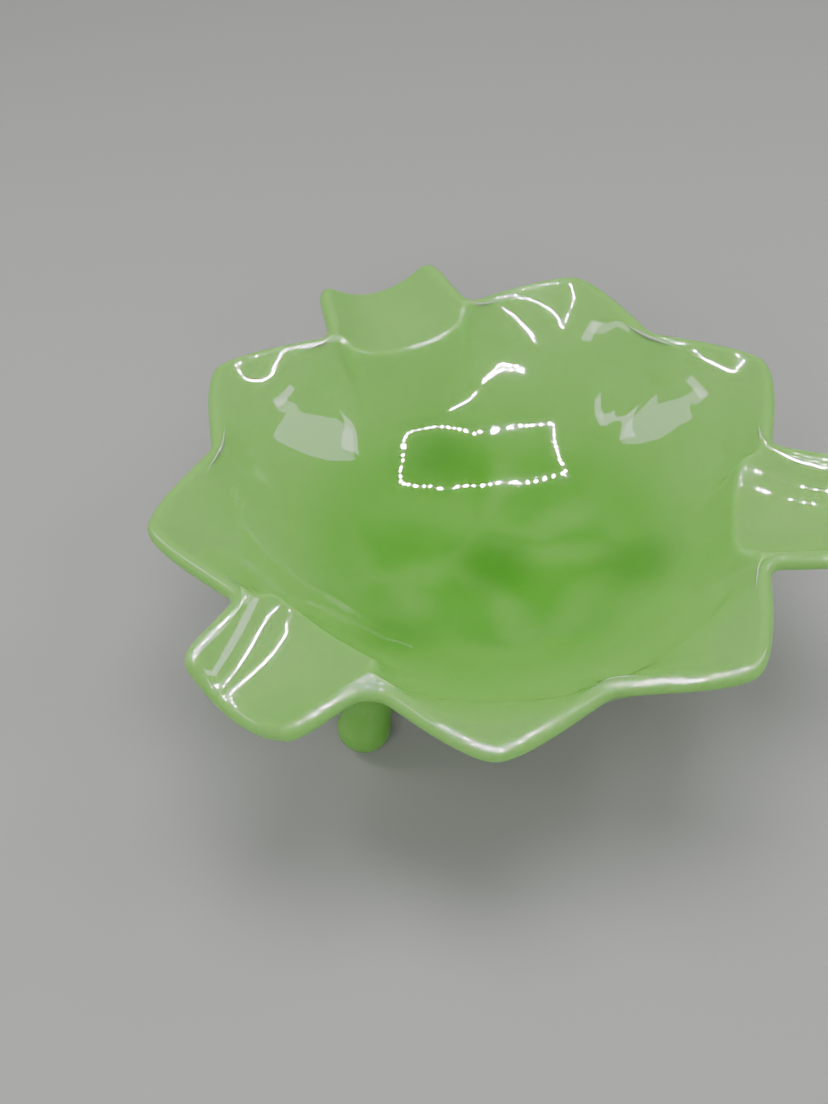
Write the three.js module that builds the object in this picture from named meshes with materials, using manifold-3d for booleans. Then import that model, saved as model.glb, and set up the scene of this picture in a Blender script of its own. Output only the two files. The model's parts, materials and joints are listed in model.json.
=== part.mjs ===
// A three-footed dish in pressed uranium glass.
//
// A round bowl stands on three ball feet.  Its rim is drawn out into six petals, in three
// pairs, and three shallow scoop handles reach out between the pairs.  A raised lip runs
// across the bowl at the root of every handle.  Everything repeats three times round the
// bowl's upright axis.  Millimetres, +Z up, the table at z = 0.

import * as THREE from 'three';
import { ParametricGeometry } from 'three/addons/geometries/ParametricGeometry.js';
import { LoftGeometry } from 'three/addons/geometries/LoftGeometry.js';
import { mergeVertices } from 'three/addons/utils/BufferGeometryUtils.js';
import Module from 'manifold-3d';

const wasm = await Module();
wasm.setup();

// ---- driving dimensions -----------------------------------------------------------------

// Glass thickness: a rounded edge of 4 mm, a heavier bottom.
const EDGE_R = 2.0;
const BOTTOM_HALF = 2.6;

// Bowl: a small level floor, then a spherical wall up to the crease where the petals start.
const FLOOR_TOP_Z = 22.0;
const FLOOR_FLAT_R = 8.0;
const WALL_R = 73.0;
const CREASE_R = 61.0;

// Petals: edge centre line, measured from the bowl's axis.
const RIM_NOTCH_Z = 52.0;
const RIM_TIP_Z = 52.6;
const PETAL_TIP_R = 79.05;
const PETAL_NOTCH_R = 66.8;
const PETAL_ROOT_R = 66.0;
const PETAL_TIP_AT = 38.9;
const PETAL_START = 16.0;
const TIP_ROUND = 0.06;
const LOBE_TIP_POWER = 1.21;
const LOBE_NOTCH_POWER = 1.42;
const PETAL_ARCH = 0.42;

// Raised lip across the root of a handle: centre line of its rounded top, and the radius from
// which the bowl's wall steepens up to it.
const LIP_FOOT_R = 45.5;
const LIP_X = 58.4;
const LIP_CORNER_X = 60.2;
const LIP_MID_Z = 47.3;
const LIP_CORNER_Z = 52.3;
const LIP_HALF_ANGLE = 15.6;

// Handle: a gutter whose side edges draw together and whose end droops a little.
const HANDLE_NECK_X = 62.2;
const HANDLE_END_X = 83.85;
const HANDLE_END_BOW = 0.7;
const HANDLE_HALF_WIDTH_NECK = 18.1;
const HANDLE_HALF_WIDTH_END = 15.0;
const HANDLE_CORNER_CUT = 1.0;
const HANDLE_SIDE_Z = 52.3;
const HANDLE_CORNER_Z = 53.3;
const HANDLE_FLOOR_Z_NECK = 46.9;
const HANDLE_FLOOR_DIP = 0.4;
const HANDLE_FLOOR_Z_END = 46.6;

// Feet: a ball, a neck, and a flare that spreads into the underside of the bowl.
const FOOT_BALL_R = 6.6;
const FOOT_BALL_X = 49.0;
const FOOT_BALL_Z = 6.0;
const FOOT_LEAN = 27.0;
const FOOT_NECK_R = 5.6;
const FOOT_FLARE_R = 9.5;

// Gap that stands for the fused line between two neighbouring pieces.
const GAP = 0.3;

// The same at a handle's root, where the two rounded edges face each other.
const ROOT_GAP = 0.5;

// The handles make the footprint longer on their own side, so the bowl's axis stands this
// far behind the middle of the footprint, which is the frame's origin.
const AXIS_X = -5.3;

// Spacing of the surface grids.
const SECTOR_STEPS = 18;
const SECTORS = 6;

const DEG = Math.PI / 180;

// ---- the bowl's shape ---------------------------------------------------------------------

// Angle from the nearest handle's centre line, 0 to 60 degrees.
function fromHandle(azimuth) {
  const turn = ((azimuth % 120) + 120) % 120;
  return Math.min(turn, 120 - turn);
}

function smooth(edge0, edge1, x) {
  return THREE.MathUtils.smoothstep(x, edge0, edge1);
}

// 0 in a notch, 1 at a petal's tip.
function petalLobe(angle) {
  const flank = angle < PETAL_TIP_AT ? PETAL_TIP_AT - PETAL_START : 60 - PETAL_TIP_AT;
  const sharp = Math.min(1, Math.abs(angle - PETAL_TIP_AT) / flank);
  const fromTip = Math.min(1, Math.hypot(sharp, TIP_ROUND) - TIP_ROUND * (1 - sharp) ** 4);
  return (1 - fromTip ** LOBE_TIP_POWER) ** LOBE_NOTCH_POWER;
}

// Centre line of the rounded edge, as [radius, height], at an angle from a handle.
function edgeCentre(angle) {
  const side = Math.min(angle, LIP_HALF_ANGLE) / LIP_HALF_ANGLE;
  const lipX = THREE.MathUtils.lerp(LIP_X, LIP_CORNER_X, side ** 3);
  const lipR = lipX / Math.cos(Math.min(angle, 18) * DEG);
  const lipZ = THREE.MathUtils.lerp(LIP_MID_Z, LIP_CORNER_Z, side ** 2.4);
  const lobe = petalLobe(angle);
  const notchR = angle < PETAL_TIP_AT ? PETAL_ROOT_R : PETAL_NOTCH_R;
  const petalR = THREE.MathUtils.lerp(notchR, PETAL_TIP_R, lobe);
  const rimZ = THREE.MathUtils.lerp(RIM_NOTCH_Z, RIM_TIP_Z, lobe);
  const petal = smooth(LIP_HALF_ANGLE - 0.6, LIP_HALF_ANGLE + 2.0, angle);
  return [
    THREE.MathUtils.lerp(lipR, petalR, petal),
    THREE.MathUtils.lerp(lipZ, rimZ, smooth(LIP_HALF_ANGLE, LIP_HALF_ANGLE + 3.4, angle)),
  ];
}

// Height of the bowl's middle surface inside the crease.
function wallMidZ(r) {
  const run = Math.max(0, r - FLOOR_FLAT_R);
  return FLOOR_TOP_Z - BOTTOM_HALF + WALL_R - Math.sqrt(WALL_R ** 2 - run ** 2);
}

// The middle line of the glass, from the axis out to the edge centre, in one upright plane.
// At the lips and in the notches the wall steepens up to the edge; the petals flare past a crease.
function middleLine(angle) {
  const [edgeR, edgeZ] = edgeCentre(angle);
  const petal = angle > LIP_HALF_ANGLE ? smooth(0, 0.4, petalLobe(angle)) : 0;
  const turnR = THREE.MathUtils.lerp(LIP_FOOT_R, CREASE_R, petal);
  const turnZ = wallMidZ(turnR);
  const line = [[0, wallMidZ(0)], [FLOOR_FLAT_R, wallMidZ(0)]];
  for (const share of [0.32, 0.5, 0.68, 0.84, 0.95]) {
    line.push([turnR * share, wallMidZ(turnR * share)]);
  }
  const lipRise = edgeZ - wallMidZ(edgeR);
  for (const t of [0.06, 0.3, 0.55, 0.8, 1]) {
    const r = THREE.MathUtils.lerp(turnR, edgeR, t);
    const petalZ = THREE.MathUtils.lerp(turnZ, edgeZ, t + PETAL_ARCH * t * (1 - t));
    const lipZ = wallMidZ(r) + lipRise * t * t;
    line.push([r, THREE.MathUtils.lerp(lipZ, petalZ, petal)]);
  }
  return line;
}

// Closed outline of the glass in one upright plane: underside, rounded edge, inside.  With
// grow > 0 it is thicker by that much, and with open sky it fills everything above as well.
function outline(angle, grow = 0, sky = 0) {
  const line = middleLine(angle);
  const under = [];
  const inside = [];
  let tangent = [1, 0];
  line.forEach(([r, z], i) => {
    const before = line[Math.max(0, i - 1)];
    const after = line[Math.min(line.length - 1, i + 1)];
    const run = Math.hypot(after[0] - before[0], after[1] - before[1]);
    tangent = [(after[0] - before[0]) / run, (after[1] - before[1]) / run];
    if (i < 2) tangent = [1, 0];
    const half = grow + THREE.MathUtils.lerp(BOTTOM_HALF, EDGE_R, smooth(20, 60, r));
    under.push([r + tangent[1] * half, z - tangent[0] * half]);
    inside.push([Math.max(0, r - tangent[1] * half), z + tangent[0] * half]);
  });
  const [edgeR, edgeZ] = line[line.length - 1];
  const lean = Math.atan2(tangent[1], tangent[0]);
  const cap = [-50, -15, 20, 55].map((a) => {
    const way = a * DEG + lean;
    return [edgeR + (EDGE_R + grow) * Math.cos(way), edgeZ + (EDGE_R + grow) * Math.sin(way)];
  });
  if (sky > 0) {
    const out = edgeR + EDGE_R + grow;
    return [...under, ...cap.slice(0, 2), [out, edgeZ], [out, sky], [0, sky]];
  }
  return [...under, ...cap, ...inside.reverse()];
}

// Sample angles of one 60-degree sector: close together where a lip turns into a petal and
// where two petals meet.
const SECTOR_ANGLES = [
  0, 5.5, 10, 13.3, 15.3, 16.4, 17.8, 20.8, 25, 29.5, 33.4, 36.6, 38.9, 41.2, 44.4, 48.5, 52.8, 56.6, 60,
];

function azimuthAt(u) {
  const place = u * SECTORS;
  const sector = Math.min(SECTORS - 1, Math.floor(place));
  const step = (place - sector) * SECTOR_STEPS;
  const mirrored = sector % 2 === 1 ? SECTOR_STEPS - step : step;
  const low = Math.min(SECTOR_STEPS - 1, Math.floor(mirrored));
  const angle = THREE.MathUtils.lerp(SECTOR_ANGLES[low], SECTOR_ANGLES[low + 1], mirrored - low);
  return sector % 2 === 1 ? (sector + 1) * 60 - angle : sector * 60 + angle;
}

// A closed skin swept round the axis from the outlines.
function sweptSkin(grow, sky) {
  const stacks = outline(0, grow, sky).length - 1;
  const skin = new ParametricGeometry((u, v, target) => {
    const azimuth = azimuthAt(u);
    const points = outline(fromHandle(azimuth), grow, sky);
    const place = Math.min(stacks - 1e-9, v * stacks);
    const low = Math.floor(place);
    const r = THREE.MathUtils.lerp(points[low][0], points[low + 1][0], place - low);
    const z = THREE.MathUtils.lerp(points[low][1], points[low + 1][1], place - low);
    const onAxis = v < 1e-9 || v > 1 - 1e-9;
    target.set(onAxis ? 0 : r * Math.cos(azimuth * DEG), onAxis ? 0 : r * Math.sin(azimuth * DEG), z);
  }, SECTORS * SECTOR_STEPS, stacks);
  return skin;
}

// ---- solids -------------------------------------------------------------------------------

// Position-only geometry with shared corners and no flat-out triangles.
function welded(geometry) {
  const bare = new THREE.BufferGeometry();
  bare.setAttribute('position', geometry.getAttribute('position').clone());
  if (geometry.index) bare.setIndex(geometry.index.clone());
  const merged = mergeVertices(bare, 1e-3);
  const corners = merged.index.array;
  const kept = [];
  for (let i = 0; i < corners.length; i += 3) {
    const [a, b, c] = [corners[i], corners[i + 1], corners[i + 2]];
    if (a !== b && b !== c && c !== a) kept.push(a, b, c);
  }
  merged.setIndex(kept);
  return merged;
}

function solid(geometry) {
  const closed = welded(geometry);
  return new wasm.Manifold(new wasm.Mesh({
    numProp: 3,
    vertProperties: new Float32Array(closed.getAttribute('position').array),
    triVerts: new Uint32Array(closed.index.array),
  }));
}

function geometryOf(body) {
  const mesh = body.getMesh();
  const geometry = new THREE.BufferGeometry();
  geometry.setAttribute('position', new THREE.BufferAttribute(mesh.vertProperties, 3));
  geometry.setIndex(new THREE.BufferAttribute(mesh.triVerts, 1));
  return geometry;
}

// ---- bowl ---------------------------------------------------------------------------------

const bowlGeometry = welded(sweptSkin(0, 0));

// The bowl with the gap round it and all the room above it: what the feet keep out of.
const bowlRoom = solid(sweptSkin(GAP, 90));

// ---- handle -------------------------------------------------------------------------------

// Rounded-edge cross-section of the gutter at a share of its length; thin < 1 closes its end.
function handleSection(share, beyond, thin) {
  const along = THREE.MathUtils.clamp(share, 0, 1);
  const rise = THREE.MathUtils.lerp(HANDLE_FLOOR_Z_NECK, HANDLE_FLOOR_Z_END, along);
  const floorZ = rise - HANDLE_FLOOR_DIP * Math.sin(Math.PI * along);
  const cornerCut = Math.max(0, (share - 0.8) / 0.2) ** 2;
  const narrowing = THREE.MathUtils.lerp(HANDLE_HALF_WIDTH_NECK, HANDLE_HALF_WIDTH_END, share);
  const halfWidth = narrowing - HANDLE_CORNER_CUT * cornerCut;
  const sideZ = THREE.MathUtils.lerp(HANDLE_SIDE_Z, HANDLE_CORNER_Z, along ** 2);
  const middle = [-1, -0.86, -0.66, -0.4, 0, 0.4, 0.66, 0.86, 1].map((side) => {
    const y = side * halfWidth;
    const bow = HANDLE_END_BOW * (1 - side * side) * share;
    const reach = THREE.MathUtils.lerp(HANDLE_NECK_X, HANDLE_END_X - HANDLE_END_BOW, share);
    const x = reach + bow + beyond;
    return [x, y, floorZ + (sideZ - floorZ) * Math.abs(side) ** (2.4 - 0.3 * along)];
  });
  const half = EDGE_R * thin;
  const top = [];
  const bottom = [];
  middle.forEach(([x, y, z], i) => {
    const before = middle[Math.max(0, i - 1)];
    const after = middle[Math.min(middle.length - 1, i + 1)];
    const run = Math.hypot(after[1] - before[1], after[2] - before[2]);
    const across = [(after[1] - before[1]) / run, (after[2] - before[2]) / run];
    top.push(new THREE.Vector3(x, y - across[1] * half, z + across[0] * half));
    bottom.push(new THREE.Vector3(x, y + across[1] * half, z - across[0] * half));
  });
  const round = (index, sign) => {
    const [x, y, z] = middle[index];
    const beside = middle[index - sign];
    const lean = Math.atan2(z - beside[2], sign * (y - beside[1]));
    return [-45, 0, 45].map((a) => {
      const way = lean + a * DEG;
      return new THREE.Vector3(x, y + sign * half * Math.cos(way), z + half * Math.sin(way));
    });
  };
  return [...bottom, ...round(middle.length - 1, 1), ...top.reverse(), ...round(0, -1).reverse()];
}

// Where the handle's glass begins at this distance from its middle line: just outside the
// bowl's rounded edge.
function rootX(y) {
  const points = SECTOR_ANGLES.map((angle) => {
    const out = edgeCentre(angle)[0] + EDGE_R + ROOT_GAP;
    return [out * Math.cos(angle * DEG), out * Math.sin(angle * DEG)];
  });
  const next = Math.max(1, points.findIndex((point) => point[1] >= Math.abs(y)));
  const [x0, y0] = points[next - 1];
  const [x1, y1] = points[next];
  return THREE.MathUtils.lerp(x0, x1, (Math.abs(y) - y0) / (y1 - y0));
}

function handleGeometry() {
  const neck = handleSection(0, 0, 1);
  const root = neck.map((point) => new THREE.Vector3(rootX(point.y), point.y, point.z));
  const sections = [root];
  for (const share of [0.3, 0.45, 0.62, 0.8, 0.92, 1]) {
    sections.push(handleSection(share, 0, 1));
  }
  for (const turn of [25, 50, 72]) {
    const beyond = EDGE_R * Math.sin(turn * DEG);
    sections.push(handleSection(1, beyond, Math.cos(turn * DEG)));
  }
  return welded(new LoftGeometry(sections, { capStart: true, capEnd: true }));
}

// ---- foot ---------------------------------------------------------------------------------

function footGeometry() {
  const profile = [new THREE.Vector2(0, -FOOT_BALL_R)];
  for (const a of [-65, -42, -20, 0, 22]) {
    profile.push(new THREE.Vector2(FOOT_BALL_R * Math.cos(a * DEG), FOOT_BALL_R * Math.sin(a * DEG)));
  }
  profile.push(new THREE.Vector2(FOOT_NECK_R + 0.15, FOOT_BALL_R * 0.72));
  profile.push(new THREE.Vector2(FOOT_NECK_R, FOOT_BALL_R * 1.15));
  profile.push(new THREE.Vector2(FOOT_NECK_R + 0.5, FOOT_BALL_R * 1.65));
  profile.push(new THREE.Vector2(FOOT_NECK_R + 1.8, FOOT_BALL_R * 2.15));
  profile.push(new THREE.Vector2(FOOT_FLARE_R, FOOT_BALL_R * 2.7));
  profile.push(new THREE.Vector2(FOOT_FLARE_R + 2.5, FOOT_BALL_R * 3.3));
  profile.push(new THREE.Vector2(FOOT_FLARE_R + 2.5, FOOT_BALL_R * 4.4));
  profile.push(new THREE.Vector2(0, FOOT_BALL_R * 4.4));
  const turned = new THREE.LatheGeometry(profile, 24);
  turned.rotateX(Math.PI / 2);
  turned.rotateY(-FOOT_LEAN * DEG);
  turned.translate(FOOT_BALL_X, 0, FOOT_BALL_Z);
  const table = new THREE.BoxGeometry(200, 200, 40);
  table.translate(0, 0, -20);
  return geometryOf(solid(turned).subtract(bowlRoom).subtract(solid(table)));
}

// ---- the dish -----------------------------------------------------------------------------

function glass() {
  return new THREE.MeshStandardMaterial({
    color: new THREE.Color(0.33, 0.56, 0.2),
    roughness: 0.12,
    metalness: 0,
    transparent: true,
    opacity: 0.9,
  });
}

const dish = new THREE.Group();
dish.position.x = AXIS_X;

const bowl = new THREE.Mesh(bowlGeometry, glass());
bowl.name = 'bowl';
dish.add(bowl);

const handleShape = handleGeometry();
const footShape = footGeometry();

[['right', 0], ['back', 120], ['left', 240]].forEach(([side, azimuth]) => {
  const arm = new THREE.Group();
  arm.rotation.z = azimuth * DEG;
  const handle = new THREE.Mesh(handleShape, glass());
  handle.name = `handle_${side}`;
  const foot = new THREE.Mesh(footShape, glass());
  foot.name = `foot_${side}`;
  arm.add(handle, foot);
  dish.add(arm);
});

export default dish;
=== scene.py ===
# %% [markdown]
# # A three-footed dish in uranium glass
#
# The dish is one piece of pressed glass: a round bowl, six petals, three scoop handles and
# three ball feet.  It is translucent rather than clear, so light enters it, scatters, and
# comes out greener where the glass is thick.  This file builds it in small steps, in the
# same frame as the CAD model, and then lights it on a plain floor.

# %% Load the frame
import json
import math

import bmesh
import bpy
import numpy as np
from mathutils import Matrix, Vector


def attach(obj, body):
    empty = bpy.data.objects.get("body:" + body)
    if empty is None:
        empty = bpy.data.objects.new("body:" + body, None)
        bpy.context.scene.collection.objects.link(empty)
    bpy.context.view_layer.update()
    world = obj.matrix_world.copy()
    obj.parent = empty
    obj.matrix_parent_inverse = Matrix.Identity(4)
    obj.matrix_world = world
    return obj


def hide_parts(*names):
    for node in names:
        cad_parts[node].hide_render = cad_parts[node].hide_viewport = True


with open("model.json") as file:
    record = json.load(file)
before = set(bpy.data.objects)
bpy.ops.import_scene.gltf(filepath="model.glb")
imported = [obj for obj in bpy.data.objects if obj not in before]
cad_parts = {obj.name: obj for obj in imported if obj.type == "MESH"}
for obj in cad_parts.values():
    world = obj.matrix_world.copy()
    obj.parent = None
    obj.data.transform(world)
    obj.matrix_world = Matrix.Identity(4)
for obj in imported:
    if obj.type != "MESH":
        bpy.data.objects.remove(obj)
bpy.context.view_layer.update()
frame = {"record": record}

# %% [markdown]
# ## Where things are
#
# The record's mount on the bowl's level floor gives two facts at once: the upright axis that
# everything repeats round, and the height of the inside floor.  All the shaping below is
# done in millimetres from that axis, and turned into metres in the row frame at the end.

# %% Axis and floor height
floor_mount = next(m for m in frame["record"]["mounts"] if m["name"] == "bowl_floor")
AXIS = Vector((floor_mount["pos_m"][0], floor_mount["pos_m"][1], 0.0))
FLOOR_TOP = floor_mount["pos_m"][2] * 1000
MM = 0.001
print("axis at", tuple(round(c, 5) for c in AXIS), "inside floor at", FLOOR_TOP, "mm")

# %% Helpers that every step below uses
def smooth(low, high, value):
    """0 below low, 1 above high, and a smooth rise between."""
    t = np.clip((value - low) / (high - low), 0, 1)
    return t * t * (3 - 2 * t)


def mix(a, b, share):
    return a + (b - a) * share


def soft_min(a, b, width):
    """The lower of two values, with their crossing rounded off over width."""
    h = np.clip(0.5 + 0.5 * (b - a) / width, 0, 1)
    return mix(b, a, h) - width * h * (1 - h)


# %% [markdown]
# ## The dish seen from above
#
# The plan is read as a radius for each direction.  A pressed dish repeats, so a direction is
# first folded to an angle between 0 (the middle of a handle) and 60 degrees (the notch
# between two petals).  Petals and handles then each have one formula, and the one that
# reaches further out counts.  An arc joins a handle's side to the petal beside it, because
# pressed glass doesn't hold a sharp corner.

# %% Plan of the rounded edge's centre line
EDGE = 2.0              # radius of the rounded glass edge, mm
PETAL_TIP_R = 78.75
PETAL_NOTCH_R = 66.8    # between two petals
PETAL_ROOT_R = 66.0     # beside a handle
PETAL_TIP_AT = 38.9     # degrees from a handle's middle
PETAL_START = 16.0      # degrees; nearer a handle's middle than this the petal falls away
PETAL_FALL = 1.6        # mm for each degree
TIP_ROUND = 0.06        # share of a petal's flank that its tip is rounded over
TIP_POWER = 1.21
NOTCH_POWER = 1.42
HANDLE_END_X = 83.7
HANDLE_END_BOW = 0.7
HANDLE_NECK_X = 62.2
HANDLE_HALF_NECK = 18.1
HANDLE_HALF_END = 15.0
HANDLE_CORNER = 5.0     # rounding of a handle's outer corners
NARROWING = (HANDLE_HALF_NECK - HANDLE_HALF_END) / (HANDLE_END_X - HANDLE_NECK_X)
LIP_ANGLE = 15.8        # a handle's side, seen from the axis


def fold(x, y):
    """Angle from the nearest handle's middle line, in degrees."""
    turn = np.mod(np.degrees(np.arctan2(y, x)), 120)
    return np.minimum(turn, 120 - turn)


def petal_lobe(angle):
    """0 in a notch, 1 at a petal's tip."""
    flank = np.where(angle < PETAL_TIP_AT, PETAL_TIP_AT - PETAL_START, 60 - PETAL_TIP_AT)
    away = np.clip(np.abs(angle - PETAL_TIP_AT) / flank, 0, 1)
    away = np.sqrt(away ** 2 + TIP_ROUND ** 2) - TIP_ROUND * (1 - away) ** 4
    return np.clip(1 - away ** TIP_POWER, 0, 1) ** NOTCH_POWER


def petal_radius(angle):
    inward = np.clip(PETAL_START - angle, 0, PETAL_START)
    notch = np.where(angle < PETAL_TIP_AT, PETAL_ROOT_R, PETAL_NOTCH_R)
    return mix(notch, PETAL_TIP_R, petal_lobe(angle)) - PETAL_FALL * inward


def handle_radius(angle):
    a = np.radians(angle)
    side = (HANDLE_HALF_NECK + NARROWING * HANDLE_NECK_X) / (np.sin(a) + NARROWING * np.cos(a))
    bow = HANDLE_END_BOW * (HANDLE_END_X * np.tan(a) / HANDLE_HALF_END) ** 2
    end = (HANDLE_END_X - bow) / np.cos(a)
    return soft_min(side, end, HANDLE_CORNER)


def fillet_centre(radius):
    """Centre of the round between a handle's side and the petal beside it.

    The centre slides out along the handle until the round only just touches the petal.
    """
    angle = np.linspace(14.0, 34.0, 400)
    way = np.radians(angle)
    petal = petal_radius(angle)[:, None] * np.stack([np.cos(way), np.sin(way)], -1)
    low, high = 62.0, 90.0
    for _ in range(30):
        x = (low + high) / 2
        y = HANDLE_HALF_NECK - NARROWING * (x - HANDLE_NECK_X) + radius * math.hypot(1, NARROWING)
        near = np.min(np.hypot(petal[:, 0] - x, petal[:, 1] - y)) < radius
        low, high = (x, high) if near else (low, x)
    return x, y


def fillet_radius_at(angle, radius, centre):
    """Where a spoke at this angle meets the round, or 0 where it misses."""
    way = np.radians(angle)
    along = centre[0] * np.cos(way) + centre[1] * np.sin(way)
    under = radius ** 2 - centre[0] ** 2 - centre[1] ** 2 + along ** 2
    return np.where(under > 0, along - np.sqrt(np.maximum(under, 0)), 0)


NOTCH_ROUND = 5.0       # all notches beside the handles but one
WIDE_ROUND = 8.5        # the notch where the front petal meets the left handle sagged wider
WIDE_FROM, WIDE_TO = 240, 285   # where it is, in degrees round the axis from +X
ROUNDS = [(radius, fillet_centre(radius)) for radius in (NOTCH_ROUND, WIDE_ROUND)]


def plan_radius(x, y):
    """Distance from the axis to the edge's centre line, in the direction of x, y."""
    angle = fold(x, y)
    sharp = np.maximum(handle_radius(angle), petal_radius(angle))
    azimuth = np.mod(np.degrees(np.arctan2(y, x)), 360)
    wide = (azimuth > WIDE_FROM) & (azimuth < WIDE_TO)
    result = sharp
    for (radius, centre), here in zip(ROUNDS, (~wide, wide)):
        tangent_side = math.degrees(math.atan2(centre[1] - radius, centre[0]))
        tangent_petal = math.degrees(math.atan2(centre[1], centre[0] - radius))
        inside = here & (angle > tangent_side) & (angle < tangent_petal)
        rounded = np.maximum(sharp, fillet_radius_at(angle, radius, centre))
        result = np.where(inside, rounded, result)
    return result


for radius, centre in ROUNDS:
    print("round of", radius, "mm beside a handle, centred at", np.round(centre, 2).tolist())

# %% [markdown]
# ## The height of the glass
#
# The middle surface of the glass is a height over the plan.  The bowl is part of a sphere
# with a small level floor.  Past the crease the petals flare outward, flatter than the wall.
# In front of a handle the wall steepens into a raised lip, and behind the lip lies the
# handle's trough, with sides that rise to the rim.  Averaging the height over a small
# circle rounds every crease, as the heat of the fire polish does.

# %% Height of the middle surface
WALL_R = 73.0
FLOOR_FLAT_R = 8.0
BOTTOM_HALF = 2.6
CREASE_R = 61.0
PETAL_ARCH = 0.42       # a petal starts as steep as the wall and levels off towards its tip
LIP_FOOT_R = 45.5       # where the wall begins to steepen towards a lip or a notch
RIM_NOTCH_Z = 52.0
RIM_TIP_Z = 52.6


def wall_height(r):
    run = np.clip(r - FLOOR_FLAT_R, 0, 66)
    return FLOOR_TOP - BOTTOM_HALF + WALL_R - np.sqrt(WALL_R ** 2 - run ** 2)


def petal_height(angle, r):
    """A petal flares past the crease; towards its notches the wall steepens instead."""
    lobe = petal_lobe(angle)
    rim = mix(RIM_NOTCH_Z, RIM_TIP_Z, lobe)
    edge = petal_radius(np.maximum(angle, PETAL_START))
    t = np.clip((r - CREASE_R) / (edge - CREASE_R), 0, 1.3)
    base = wall_height(CREASE_R)
    rise = t + PETAL_ARCH * t * (1 - t)
    flared = np.where(r < CREASE_R, wall_height(r), base + (rim - base) * rise)
    t = np.clip((r - LIP_FOOT_R) / (edge - LIP_FOOT_R), 0, 1)
    steep = wall_height(np.minimum(r, edge)) + (rim - wall_height(edge)) * t ** 2
    return mix(steep, flared, smooth(0, 0.4, lobe))


LIP_X = 58.4            # a lip in the middle of its handle
LIP_CORNER_X = 60.2     # and at its corners
LIP_CORNER_AT = 15.6    # degrees from the handle's middle


def lip_radius(angle):
    side = np.clip(angle / LIP_CORNER_AT, 0, 1)
    return mix(LIP_X, LIP_CORNER_X, side ** 3) / np.cos(np.radians(np.minimum(angle, 18)))


TROUGH_Z = 46.9
TROUGH_DIP = 0.4        # the trough sags by this halfway along
TROUGH_FALL = 0.3       # and ends lower by this
SIDE_Z = 52.3
LIP_ABOVE = 0.4         # height of a lip's middle above the trough
LIP_CREASE = 0.8        # rounding where the wall meets the trough


def trough_height(x, y):
    share = np.clip((x - HANDLE_NECK_X) / (HANDLE_END_X - HANDLE_NECK_X), -0.3, 1.2)
    along = np.clip(share, 0, 1)
    floor = TROUGH_Z - TROUGH_DIP * np.sin(math.pi * along) - TROUGH_FALL * along
    half = mix(HANDLE_HALF_NECK, HANDLE_HALF_END, share)
    across = np.clip(np.abs(y) / half, 0, 1)
    return floor + (SIDE_Z + along ** 2 - floor) * across ** mix(2.4, 2.1, along)


def steep_wall(x, y):
    """The bowl's wall in front of a handle, which steepens up to the lip."""
    r = np.hypot(x, y)
    angle = np.degrees(np.arctan2(np.abs(y), x))
    crest = lip_radius(angle)
    crest_z = mix(TROUGH_Z + LIP_ABOVE, SIDE_Z, np.clip(angle / LIP_CORNER_AT, 0, 1.1) ** 2.4)
    t = np.clip((r - LIP_FOOT_R) / (crest - LIP_FOOT_R), 0, 1.25)
    return wall_height(r) + (crest_z - wall_height(crest)) * t ** 2


def petal_surface(x, y):
    return petal_height(np.degrees(np.arctan2(np.abs(y), x)), np.hypot(x, y))


def lifted(surface, x, y, lift):
    """A surface moved by lift along its own normal, as a height over the same plan."""
    if lift == 0:
        return surface(x, y)
    step = 0.05
    dx = (surface(x + step, y) - surface(x - step, y)) / (2 * step)
    dy = (surface(x, y + step) - surface(x, y - step)) / (2 * step)
    return surface(x, y) + lift * np.sqrt(1 + dx ** 2 + dy ** 2)


def sharp_height(x, y, lift):
    """The glass before its creases are rounded: petals, or wall and trough in a handle."""
    r, angle = np.hypot(x, y), fold(x, y)
    x, y = r * np.cos(np.radians(angle)), r * np.sin(np.radians(angle))
    wall, trough = lifted(steep_wall, x, y, lift), lifted(trough_height, x, y, lift)
    handle = soft_min(wall, trough, LIP_CREASE)
    width = mix(7.0, 1.6, smooth(44, 60, r))
    inside_handle = 1 - smooth(-width, width, r * np.sin(np.radians(angle - LIP_ANGLE)))
    return mix(lifted(petal_surface, x, y, lift), handle, inside_handle)


RINGS = ((0.5, 1.0), (1.0, 0.75))   # share of the blur radius, and weight
RING_POINTS = 6


def height(x, y, blur, lift=0):
    """Height averaged over two rings of points round each place."""
    total = sharp_height(x, y, lift)
    for ring, weight in RINGS:
        for k in range(RING_POINTS):
            a = 2 * math.pi * (k + ring) / RING_POINTS
            dx, dy = blur * ring * math.cos(a), blur * ring * math.sin(a)
            total = total + weight * sharp_height(x + dx, y + dy, lift)
    return total / (1 + RING_POINTS * sum(weight for _, weight in RINGS))


def surface_normal(x, y, blur):
    step = 0.3
    dx = (height(x + step, y, blur) - height(x - step, y, blur)) / (2 * step)
    dy = (height(x, y + step, blur) - height(x, y - step, blur)) / (2 * step)
    n = np.stack([-dx, -dy, np.ones_like(dx)], -1)
    return n / np.linalg.norm(n, axis=-1, keepdims=True)


# %% [markdown]
# ## The glass blank
#
# A presser drops a gather of glass in a mould and a plunger spreads it.  The mesh is made
# the same way.  The blank is a flat round slab: a short profile is drawn with a half-round
# edge, then spun round the upright axis, which closes the surface with its seam and both
# poles merged.  The press step afterwards moves every point of the slab to its place.

# %% Spin the blank
BLANK_R = 100.0
BLANK_HALF = 5.0
AROUND = 600
ACROSS = 54
ROUND = 10


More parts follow.
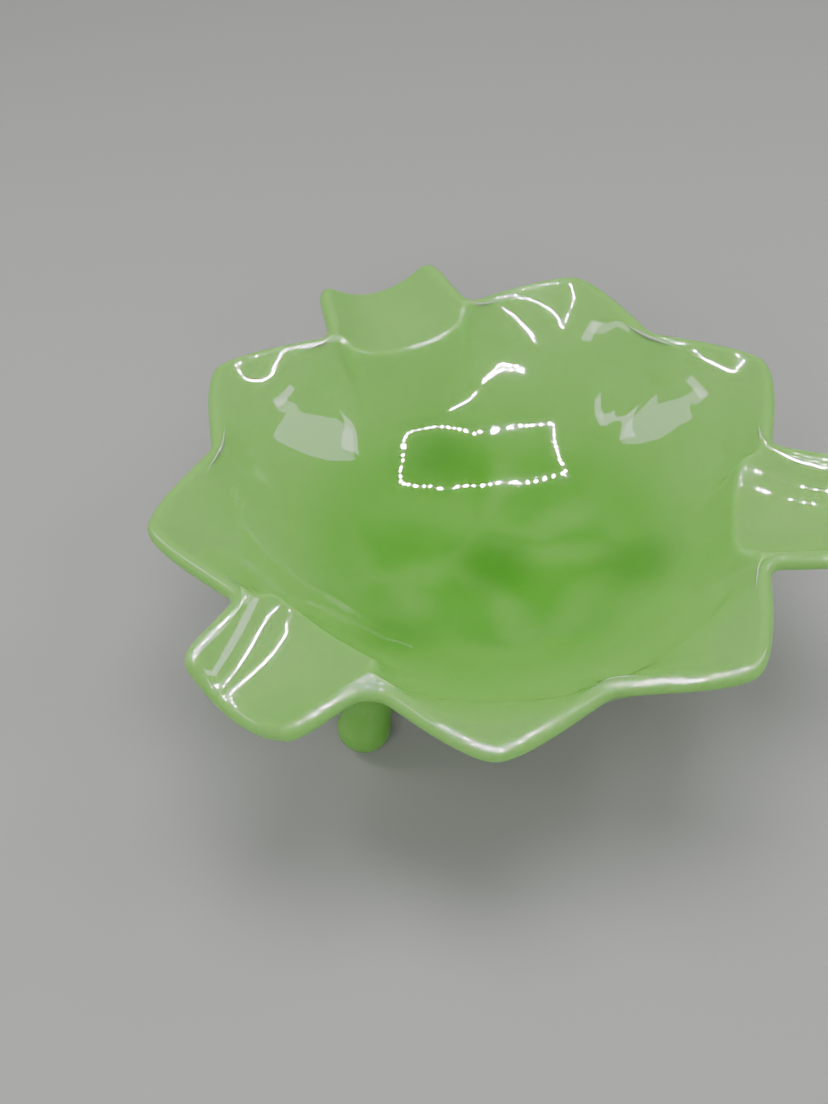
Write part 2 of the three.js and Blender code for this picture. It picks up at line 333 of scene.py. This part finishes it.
def spin_blank():
    bm = bmesh.new()
    bm.verts.new((BLANK_R, 0, -BLANK_HALF))
    bmesh.ops.spin(bm, geom=bm.verts[:], cent=(BLANK_R, 0, 0), axis=(0, -1, 0),
                   angle=math.pi, steps=ROUND)
    low = min(bm.verts, key=lambda v: v.co.z)
    high = max(bm.verts, key=lambda v: v.co.z)
    flats = [bm.edges.new((rim, bm.verts.new((0, 0, rim.co.z)))) for rim in (low, high)]
    bmesh.ops.subdivide_edges(bm, edges=flats, cuts=ACROSS - 1)
    bmesh.ops.spin(bm, geom=bm.verts[:] + bm.edges[:], cent=(0, 0, 0), axis=(0, 0, 1),
                   angle=2 * math.pi, steps=AROUND, use_merge=True)
    bmesh.ops.remove_doubles(bm, verts=bm.verts, dist=1e-3)
    bmesh.ops.recalc_face_normals(bm, faces=bm.faces)
    return bm


blank = spin_blank()
print("blank:", len(blank.verts), "points,", len(blank.faces), "faces,",
      sum(1 for e in blank.edges if not e.is_manifold), "open edges")

# %% [markdown]
# ## Spacing
#
# The blank's rings and spokes are evenly spaced, but the dish needs them close together at
# the lips, the creases and the notches.  Two small maps do that: one for the direction of a
# spoke, one for the radius of a ring.

# %% Maps from the blank to the dish
def spoke_direction(degrees):
    """Half of all spokes go to the 18 degrees each side of a handle's middle."""
    turn = np.mod(degrees + 60, 120) - 60
    u = np.abs(turn) / 60
    angle = np.where(u < 0.5, 36 * u, 18 + 84 * (u - 0.5))
    return degrees - turn + np.sign(turn) * angle


def ring_radius(share, crest, edge):
    """Radius for a share of the blank, close round the crest."""
    marks = (0.0, 0.26, 0.42, 0.70, 1.0)
    places = (np.zeros_like(crest), 0.70 * crest, crest - 4.5, crest + 3.5, edge)
    r = np.zeros_like(share)
    for (m0, m1), (p0, p1) in zip(zip(marks, marks[1:]), zip(places, places[1:])):
        here = (share >= m0) & (share <= m1 + 1e-9)
        r = np.where(here, p0 + (p1 - p0) * (share - m0) / (m1 - m0), r)
    return r


# %% Press the blank into the mould
CRISP = 0.9             # how far heights are averaged on the inside, mm
SOFT = 4.5              # and on the underside


def unit(vectors):
    return vectors / np.linalg.norm(vectors, axis=1, keepdims=True)


def flat_sides(x, y, half, near_edge):
    """Inside and underside of the glass.

    The inside is the lifted surface itself, so that the lips stay crisp, and turns into a
    plain offset towards the edge.  The underside is softer: it is the hollow side of bends.
    """
    normal = surface_normal(x, y, CRISP)
    middle = np.stack([x, y, height(x, y, CRISP)], -1)
    crisp = np.stack([x, y, height(x, y, CRISP, lift=EDGE) + (half[:, 0] - EDGE)], -1)
    top = mix(crisp, middle + half * normal, near_edge[:, None])
    low_z = mix(height(x, y, SOFT), middle[:, 2], near_edge)
    low_normal = unit(mix(surface_normal(x, y, SOFT), normal, near_edge[:, None]))
    return top, np.stack([x, y, low_z], -1) - half * low_normal


def edge_line(way):
    """The edge's centre line seen from above, in the directions of way."""
    radius = plan_radius(np.cos(way), np.sin(way))
    return radius * np.cos(way), radius * np.sin(way)


def rounded_edge(way, lean):
    """A half circle that stands square to the edge line; lean is the angle round it."""
    step = math.radians(0.15)
    (x0, y0), (x1, y1) = edge_line(way - step), edge_line(way + step)
    along = np.stack([x1 - x0, y1 - y0, np.zeros(len(way))], -1)
    x, y = edge_line(way)
    normal = surface_normal(x, y, CRISP)
    out = unit(np.cross(along, normal))
    centre = np.stack([x, y, height(x, y, CRISP)], -1)
    return centre + EDGE * (np.cos(lean) * out + np.sin(lean) * normal)


def press(bm):
    co = np.array([v.co for v in bm.verts], float)
    blank_r = np.hypot(co[:, 0], co[:, 1])
    way = np.radians(spoke_direction(np.degrees(np.arctan2(co[:, 1], co[:, 0]))))
    cx, cy = np.cos(way), np.sin(way)
    angle = fold(cx, cy)
    in_handle = 1 - smooth(LIP_ANGLE - 0.8, LIP_ANGLE + 2.5, angle)
    crest_r = mix(CREASE_R, lip_radius(angle), in_handle)
    share = np.clip(blank_r / BLANK_R, 0, 1)
    r = ring_radius(share, crest_r, plan_radius(cx, cy))
    half = mix(BOTTOM_HALF, EDGE, smooth(20, 60, r))[:, None]

    top, low = flat_sides(r * cx, r * cy, half, near_edge=smooth(0.86, 0.99, share))
    placed = np.where((co[:, 2] > 0)[:, None], top, low)
    lean = np.arctan2(co[:, 2], np.maximum(blank_r - BLANK_R, 0))[:, None]
    on_edge = (blank_r > BLANK_R + 1e-3)[:, None]
    placed = np.where(on_edge, rounded_edge(way, lean), placed)
    for vert, place in zip(bm.verts, placed):
        vert.co = Vector(place) * MM + AXIS


press(blank)

# %% Finish the skin as an object
def finished(name, bm, nodes):
    """Makes the object, smooth shaded, riding on the frame in place of its CAD nodes."""
    mesh = bpy.data.meshes.new(name)
    bm.to_mesh(mesh)
    bm.free()
    mesh.shade_smooth()
    piece = bpy.data.objects.new(name, mesh)
    bpy.context.scene.collection.objects.link(piece)
    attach(piece, "root")
    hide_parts(*nodes)
    return piece


dish = finished("dish", blank, ["bowl", "handle_right", "handle_back", "handle_left"])
print("dish:", len(dish.data.polygons), "faces")

# %% [markdown]
# ## The feet
#
# Each foot is a ball on a short neck that flares up to the underside.  It is a turned shape,
# so its outline is spun, leaned over so that the ball stands outside the neck, and pressed
# flat where it touches the table.  The flare sinks into the glass on the side near the axis.
# On its outer side the rim of the flare shows as a fine ledge.

# %% Spin the feet
FOOT_BALL_R = 6.6
FOOT_BALL_X = 49.0
FOOT_BALL_Z = 6.0
FOOT_LEAN = 27.0
FOOT_OUTLINE = ((6.15, 2.4), (5.72, 4.6), (5.6, 7.2), (5.8, 9.8), (6.4, 12.4), (7.6, 15.0),
                (9.2, 17.4), (11.4, 19.6), (14.0, 21.6), (15.2, 22.3))
FOOT_CROWN = 0.5        # the foot's top rises by this to its middle


def spin_foot(turn):
    bm = bmesh.new()
    bm.verts.new((0, 0, -FOOT_BALL_R))
    bmesh.ops.spin(bm, geom=bm.verts[:], cent=(0, 0, 0), axis=(0, -1, 0),
                   angle=math.pi / 2, steps=14)
    last = max(bm.verts, key=lambda v: v.co.z)
    for r, z in FOOT_OUTLINE:
        up = bmesh.ops.extrude_vert_indiv(bm, verts=[last])["verts"][0]
        up.co = (r, 0, z)
        last = up
    top = bmesh.ops.extrude_vert_indiv(bm, verts=[last])["verts"][0]
    top.co = (0, 0, FOOT_OUTLINE[-1][1] + FOOT_CROWN)
    bmesh.ops.spin(bm, geom=bm.verts[:] + bm.edges[:], cent=(0, 0, 0), axis=(0, 0, 1),
                   angle=2 * math.pi, steps=64, use_merge=True)
    bmesh.ops.remove_doubles(bm, verts=bm.verts, dist=1e-3)
    bmesh.ops.recalc_face_normals(bm, faces=bm.faces)
    place = (Matrix.Rotation(math.radians(turn), 4, "Z")
             @ Matrix.Translation((FOOT_BALL_X, 0, FOOT_BALL_Z))
             @ Matrix.Rotation(math.radians(-FOOT_LEAN), 4, "Y"))
    bmesh.ops.transform(bm, matrix=place, verts=bm.verts)
    for vert in bm.verts:
        vert.co.z = max(vert.co.z, 0.0)
        vert.co = vert.co * MM + AXIS
    return bm


feet = [finished(f"ball_foot_{side}", spin_foot(turn), [f"foot_{side}"])
        for side, turn in (("right", 0), ("back", 120), ("left", 240))]
print("feet:", [len(f.data.polygons) for f in feet])

# %% [markdown]
# ## Green glass
#
# Uranium glass of this kind is opalescent: light enters, scatters inside and comes out again,
# so the Principled shader's subsurface part does most of the work, with a random walk that
# reaches right through a thin petal.  Five things vary the colour.  The distance from the
# axis stands for how thick the glass is, and also carries painted light and shade: the thin
# petals are painted lighter for the light that comes through them, and the thick bottom is
# painted darker as shade.  Milky veils lie where the glass folded as it was pressed.  The
# roots of the feet, and the middle of the bottom, are darker green patches of painted shade.
# A slow cloud of milk runs through it all, and glass seen edge on gets a painted green glow.
# The distance, the veils, the patches and the skin are small node groups with named sockets.

# %% Node helpers
def new_group(name, inputs, outputs):
    """A shader node group; inputs are (name, kind, default), outputs are (name, kind)."""
    group = bpy.data.node_groups.new(name, "ShaderNodeTree")
    for label, kind, default in inputs:
        socket = group.interface.new_socket(name=label, in_out="INPUT", socket_type=kind)
        socket.default_value = default
    for label, kind in outputs:
        group.interface.new_socket(name=label, in_out="OUTPUT", socket_type=kind)
    return group, group.nodes.new("NodeGroupInput"), group.nodes.new("NodeGroupOutput")


def math_node(tree, operation, a, b):
    """Adds one Math node; a and b are sockets or numbers."""
    node = tree.nodes.new("ShaderNodeMath")
    node.operation = operation
    for socket, value in zip(node.inputs, (a, b)):
        if isinstance(value, (int, float)):
            socket.default_value = value
        else:
            tree.links.new(value, socket)
    return node.outputs[0]


def ramp_node(tree, value, low, high):
    """0 below low, 1 above high, smooth between."""
    node = tree.nodes.new("ShaderNodeMapRange")
    node.interpolation_type = "SMOOTHSTEP"
    tree.links.new(value, node.inputs["Value"])
    node.inputs["From Min"].default_value = low
    node.inputs["From Max"].default_value = high
    return node.outputs["Result"]


# %% Group: distance from an upright axis
def build_axis_distance():
    group, start, end = new_group(
        "axis_distance",
        [("Position", "NodeSocketVector", (0, 0, 0)), ("Centre", "NodeSocketVector", (0, 0, 0))],
        [("Distance", "NodeSocketFloat")])
    offset = group.nodes.new("ShaderNodeVectorMath")
    offset.operation = "SUBTRACT"
    group.links.new(start.outputs["Position"], offset.inputs[0])
    group.links.new(start.outputs["Centre"], offset.inputs[1])
    flat = group.nodes.new("ShaderNodeVectorMath")
    flat.operation = "MULTIPLY"
    flat.inputs[1].default_value = (1, 1, 0)
    group.links.new(offset.outputs[0], flat.inputs[0])
    length = group.nodes.new("ShaderNodeVectorMath")
    length.operation = "LENGTH"
    group.links.new(flat.outputs[0], length.inputs[0])
    group.links.new(length.outputs["Value"], end.inputs["Distance"])
    return group


axis_distance = build_axis_distance()


# %% Group: a soft round patch, used to paint shade such as at the root of a foot seen through the glass
def build_soft_patch():
    group, start, end = new_group(
        "soft_patch",
        [("Position", "NodeSocketVector", (0, 0, 0)), ("Centre", "NodeSocketVector", (0, 0, 0)),
         ("Radius", "NodeSocketFloat", 0.01), ("Wobble", "NodeSocketFloat", 0.3)],
        [("Mask", "NodeSocketFloat")])
    away = group.nodes.new("ShaderNodeGroup")
    away.node_tree = axis_distance
    group.links.new(start.outputs["Position"], away.inputs["Position"])
    group.links.new(start.outputs["Centre"], away.inputs["Centre"])
    noise = group.nodes.new("ShaderNodeTexNoise")
    noise.inputs["Scale"].default_value = 70
    noise.inputs["Detail"].default_value = 2
    group.links.new(start.outputs["Position"], noise.inputs["Vector"])
    centred = math_node(group, "SUBTRACT", noise.outputs["Fac"], 0.5)
    wobble = math_node(group, "MULTIPLY", centred, start.outputs["Wobble"])
    share = math_node(group, "DIVIDE", away.outputs["Distance"], start.outputs["Radius"])
    share = math_node(group, "ADD", share, wobble)
    mask = ramp_node(group, share, 1.15, 0.1)
    group.links.new(mask, end.inputs["Mask"])
    return group


soft_patch = build_soft_patch()


# %% Group: milky veils folded into the glass
def build_veils():
    group, start, end = new_group(
        "milky_veils",
        [("Position", "NodeSocketVector", (0, 0, 0)), ("Scale", "NodeSocketFloat", 60.0),
         ("Width", "NodeSocketFloat", 0.12)],
        [("Veil", "NodeSocketFloat")])
    bend = group.nodes.new("ShaderNodeTexNoise")
    bend.inputs["Scale"].default_value = 35
    bend.inputs["Detail"].default_value = 2
    group.links.new(start.outputs["Position"], bend.inputs["Vector"])
    shift = group.nodes.new("ShaderNodeVectorMath")
    shift.operation = "MULTIPLY_ADD"
    shift.inputs[1].default_value = (0.02, 0.02, 0.0)
    group.links.new(bend.outputs["Color"], shift.inputs[0])
    group.links.new(start.outputs["Position"], shift.inputs[2])
    cells = group.nodes.new("ShaderNodeTexVoronoi")
    cells.feature = "DISTANCE_TO_EDGE"
    group.links.new(shift.outputs[0], cells.inputs["Vector"])
    group.links.new(start.outputs["Scale"], cells.inputs["Scale"])
    share = math_node(group, "DIVIDE", cells.outputs["Distance"], start.outputs["Width"])
    veil = ramp_node(group, share, 1.0, 0.0)
    group.links.new(veil, end.inputs["Veil"])
    return group


milky_veils = build_veils()


# %% Group: the skin left by the mould and the fire polish
def build_pressed_skin():
    """Height in millimetres: slow waves, faint chill ripples, and a scatter of tiny bumps."""
    group, start, end = new_group(
        "pressed_skin",
        [("Position", "NodeSocketVector", (0, 0, 0))],
        [("Height", "NodeSocketFloat")])
    total = None
    for scale, detail, size in ((38.0, 1.0, 0.70), (150.0, 1.0, 0.045), (600.0, 2.0, 0.003)):
        noise = group.nodes.new("ShaderNodeTexNoise")
        noise.inputs["Scale"].default_value = scale
        noise.inputs["Detail"].default_value = detail
        group.links.new(start.outputs["Position"], noise.inputs["Vector"])
        part = math_node(group, "MULTIPLY", noise.outputs["Fac"], size)
        total = part if total is None else math_node(group, "ADD", total, part)
    seeds = group.nodes.new("ShaderNodeTexVoronoi")
    seeds.inputs["Scale"].default_value = 95
    group.links.new(start.outputs["Position"], seeds.inputs["Vector"])
    seed = ramp_node(group, seeds.outputs["Distance"], 0.045, 0.0)
    total = math_node(group, "ADD", total, math_node(group, "MULTIPLY", seed, 0.03))
    group.links.new(total, end.inputs["Height"])
    return group


pressed_skin = build_pressed_skin()


# %% The glass material
def use_group(tree, group, **values):
    node = tree.nodes.new("ShaderNodeGroup")
    node.node_tree = group
    for label, value in values.items():
        socket = node.inputs[label]
        if hasattr(value, "is_output"):
            tree.links.new(value, socket)
        else:
            socket.default_value = value
    return node


def tint(tree, base, colour, share):
    """Mixes colour into base, which is a colour or a socket, by the socket share."""
    node = tree.nodes.new("ShaderNodeMix")
    node.data_type = "RGBA"
    sockets = {s.name + s.type: s for s in node.inputs}
    if hasattr(base, "is_output"):
        tree.links.new(base, sockets["ARGBA"])
    else:
        sockets["ARGBA"].default_value = (*base, 1)
    sockets["BRGBA"].default_value = (*colour, 1)
    tree.links.new(share, node.inputs["Factor"])
    return [o for o in node.outputs if o.type == "RGBA"][0]


FOOT_ROOT_R = 36.0 * MM
# Painted light and shade in the glass colour: the deep green also paints the thick bottom darker
# as shade, and the thin green paints the petals and handles lighter for the light that comes
# through them.
DEEP_GREEN_AND_SHADE = (0.075, 0.320, 0.018)        # thick glass in the bottom
THIN_GREEN_AND_LIGHT = (0.245, 0.520, 0.125)        # thin glass in the petals and handles
# Painted shade: a darker green for the roots of the feet and the middle of the bottom.
ROOT_AND_MIDDLE_SHADE = (0.034, 0.205, 0.007)        # a foot's root, seen through the bottom
# Painted glow: a brighter green for glass seen edge on.
PAINTED_EDGE_GLOW = (0.210, 0.600, 0.070)         # glass seen edge on, where the green light gathers
MILK = (0.270, 0.530, 0.140)        # milky glass


def make_green_glass():
    material = bpy.data.materials.new("uranium_glass")
    material.use_nodes = True
    tree = material.node_tree
    shader = tree.nodes["Principled BSDF"]
    shader.inputs["Metallic"].default_value = 0
    shader.inputs["Transmission Weight"].default_value = 0.0
    shader.inputs["IOR"].default_value = 1.52
    shader.inputs["Subsurface Weight"].default_value = 1.0
    shader.inputs["Subsurface Radius"].default_value = (0.55, 1.0, 0.35)
    shader.inputs["Subsurface Scale"].default_value = 0.006
    place = tree.nodes.new("ShaderNodeTexCoord").outputs["Object"]

    # Darker green near the axis and lighter towards the rim: thick and thin glass, with painted
    # shade in the bottom and painted light through the thin petals.
    out = use_group(tree, axis_distance, Position=place, Centre=AXIS).outputs["Distance"]
    colour = tint(tree, DEEP_GREEN_AND_SHADE, THIN_GREEN_AND_LIGHT, ramp_node(tree, out, 0.024, 0.066))

    veil = use_group(tree, milky_veils, Position=place, Scale=30.0, Width=0.20).outputs["Veil"]
    veil = math_node(tree, "MULTIPLY", veil, ramp_node(tree, out, 0.044, 0.024))
    colour = tint(tree, colour, MILK, math_node(tree, "MULTIPLY", veil, 0.26))

    # Painted shade: darker green patches where the feet join, where light passes through more
    # glass, and in the middle of the bottom, over the shaded gap beneath it.
    foot_roots = [(FOOT_ROOT_R, turn, 0.013, 0.55) for turn in (0, 120, 240)]
    middle = (0, 0, 0.014, 0.7)
    for reach, turn, size, strength in foot_roots + [middle]:
        way = math.radians(turn)
        centre = AXIS + Vector((reach * math.cos(way), reach * math.sin(way), 0))
        patch = use_group(tree, soft_patch, Position=place, Centre=centre, Radius=size, Wobble=0.5)
        mask = math_node(tree, "MULTIPLY", patch.outputs["Mask"], strength)
        colour = tint(tree, colour, ROOT_AND_MIDDLE_SHADE, mask)

    cloud = tree.nodes.new("ShaderNodeTexNoise")
    cloud.inputs["Scale"].default_value = 28
    cloud.inputs["Detail"].default_value = 3
    tree.links.new(place, cloud.inputs["Vector"])
    milk = math_node(tree, "MULTIPLY", ramp_node(tree, cloud.outputs["Fac"], 0.45, 0.75), 0.15)
    colour = tint(tree, colour, MILK, milk)
    # Painted glow: glass seen edge on is tinted a brighter green, standing in for the light that
    # comes out through the edges.
    glow = tree.nodes.new("ShaderNodeLayerWeight")
    glow.inputs["Blend"].default_value = 0.35
    colour = tint(tree, colour, PAINTED_EDGE_GLOW, math_node(tree, "MULTIPLY", glow.outputs["Facing"], 0.35))
    tree.links.new(colour, shader.inputs["Base Color"])

    ripples = use_group(tree, pressed_skin, Position=place)
    bump = tree.nodes.new("ShaderNodeBump")
    bump.inputs["Strength"].default_value = 1.0
    bump.inputs["Distance"].default_value = 0.001
    tree.links.new(ripples.outputs["Height"], bump.inputs["Height"])
    tree.links.new(bump.outputs["Normal"], shader.inputs["Normal"])

    haze = ramp_node(tree, cloud.outputs["Fac"], 0.3, 0.8)
    rough = math_node(tree, "MULTIPLY_ADD", haze, 0.02)
    rough.node.inputs[2].default_value = 0.008
    tree.links.new(rough, shader.inputs["Roughness"])
    return material


uranium_glass = make_green_glass()
for piece in [dish, *feet]:
    piece.data.materials.append(uranium_glass)
print("glass:", len(uranium_glass.node_tree.nodes), "nodes")

# %% [markdown]
# ## The studio
#
# A plain pale floor, a light tent's soft glow, a rectangle of small bright lamps overhead, a
# double row of them in front, two soft panels on each side, and a soft key and front fill.
# The little lamps matter: their mirror images, bent by the bowl and by each petal, are what
# tells the eye that the glass is polished.

# %% Floor
def stage_mesh(name, bm, material):
    mesh = bpy.data.meshes.new(name)
    bm.to_mesh(mesh)
    bm.free()
    piece = bpy.data.objects.new(name, mesh)
    bpy.context.scene.collection.objects.link(piece)
    piece.data.materials.append(material)
    return piece


paper = bpy.data.materials.new("pale_floor")
paper.use_nodes = True
paper_shader = paper.node_tree.nodes["Principled BSDF"]
paper_shader.inputs["Base Color"].default_value = (0.40, 0.40, 0.39, 1)
paper_shader.inputs["Roughness"].default_value = 0.6
paper_shader.inputs["Specular IOR Level"].default_value = 0.0
bm = bmesh.new()
bmesh.ops.create_grid(bm, x_segments=1, y_segments=1, size=3.0)
stage_mesh("floor", bm, paper)

# %% Lamps
VIEW_TURN = 12.5        # camera and lights are turned together by this much
STUDIO = Matrix.Translation(AXIS) @ Matrix.Rotation(math.radians(VIEW_TURN), 4, "Z")

LAMP_Z = 0.60
LAMP_HALF = 0.0030

lamp_glow = bpy.data.materials.new("lamp_glow")
lamp_glow.use_nodes = True
lamp_tree = lamp_glow.node_tree
lamp_tree.nodes.remove(lamp_tree.nodes["Principled BSDF"])
lamp_light = lamp_tree.nodes.new("ShaderNodeEmission")
lamp_light.inputs["Color"].default_value = (1, 0.98, 0.94, 1)
lamp_light.inputs["Strength"].default_value = 8000
lamp_tree.links.new(lamp_light.outputs[0], lamp_tree.nodes["Material Output"].inputs["Surface"])


def lamp_frame(name, middle, half_x, half_y, along_x, along_y):
    """A rectangle of small lamps.  Diffuse bounces don't see it, mirror images do."""
    bm = bmesh.new()
    for side, count in (("x", along_x), ("y", along_y)):
        for k in range(count):
            t = (k + 0.5) / count * 2 - 1
            for sign in (-1, 1):
                x, y = (t * half_x, sign * half_y) if side == "x" else (sign * half_x, t * half_y)
                spot = Matrix.Translation((middle[0] + x, middle[1] + y, LAMP_Z))
                bmesh.ops.create_grid(bm, x_segments=1, y_segments=1, size=LAMP_HALF,
                                      matrix=STUDIO @ spot)
    lamps = stage_mesh(name, bm, lamp_glow)
    lamps.visible_diffuse = False
    lamps.visible_transmission = False
    lamps.visible_volume_scatter = False


def softbox(name, place, aim, size, power):
    light = bpy.data.lights.new(name, "AREA")
    light.shape = "RECTANGLE"
    light.size, light.size_y = size
    light.energy = power
    lamp = bpy.data.objects.new(name, light)
    spot, target = STUDIO @ Vector(place), STUDIO @ Vector(aim)
    lamp.location = spot
    lamp.rotation_euler = (spot - target).to_track_quat("Z", "Y").to_euler()
    bpy.context.scene.collection.objects.link(lamp)
    return lamp


lamp_frame("lamps_over", (0.035, 0.080), 0.190, 0.105, 18, 10)
lamp_frame("lamps_front", (0.020, -0.290), 0.150, 0.010, 16, 1)
for side, across in (("right", 0.42), ("left", -0.38)):
    softbox(f"{side}_panel", (across, 0.09, 0.36), (0, 0, 0.03), (0.10, 0.30), 0.42)
    softbox(f"{side}_upper_panel", (across * 0.98, 0.02, 0.56), (0, 0, 0.03), (0.20, 0.07), 0.30)
key = softbox("top_key", (0.05, 0.15, 1.0), (0, 0, 0), (0.7, 0.5), 6)
key.visible_glossy = False
fill = softbox("front_fill", (-0.10, -0.70, 0.55), (0, -0.25, 0), (0.6, 0.3), 3.4)
fill.visible_glossy = False

TENT_DIM = (0.40, 0.40, 0.40)
TENT_BRIGHT = (0.82, 0.83, 0.84)

world = bpy.data.worlds.new("studio")
world.use_nodes = True
tent = world.node_tree.nodes["Background"]
folds = world.node_tree.nodes.new("ShaderNodeTexNoise")
folds.inputs["Scale"].default_value = 2.6
folds.inputs["Detail"].default_value = 1.0
way_out = world.node_tree.nodes.new("ShaderNodeTexCoord")
world.node_tree.links.new(way_out.outputs["Generated"], folds.inputs["Vector"])
bright = ramp_node(world.node_tree, folds.outputs["Fac"], 0.42, 0.58)
glow = tint(world.node_tree, TENT_DIM, TENT_BRIGHT, bright)
world.node_tree.links.new(glow, tent.inputs["Color"])
tent.inputs["Strength"].default_value = 0.36
bpy.context.scene.world = world

# %% Camera
ELEVATION = 46.651
ROLL = -3.021
DISTANCE = 0.3836
TARGET = Vector((-0.01888, 0.02644, 0))
camera_data = bpy.data.cameras.new("camera")
camera_data.lens = 45.24
camera_data.sensor_width = 36
camera_data.clip_start = 0.01
camera = bpy.data.objects.new("camera", camera_data)
bpy.context.scene.collection.objects.link(camera)
e, roll = math.radians(ELEVATION), math.radians(ROLL)
back = Vector((0, -math.cos(e), math.sin(e)))
right = Vector((1, 0, 0))
up = Vector((0, math.sin(e), math.cos(e)))
cam_x = right * math.cos(roll) + up * math.sin(roll)
cam_y = up * math.cos(roll) - right * math.sin(roll)
pose = Matrix((cam_x, cam_y, back)).transposed().to_4x4()
pose.translation = TARGET + back * DISTANCE
camera.matrix_world = STUDIO @ pose
bpy.context.scene.camera = camera
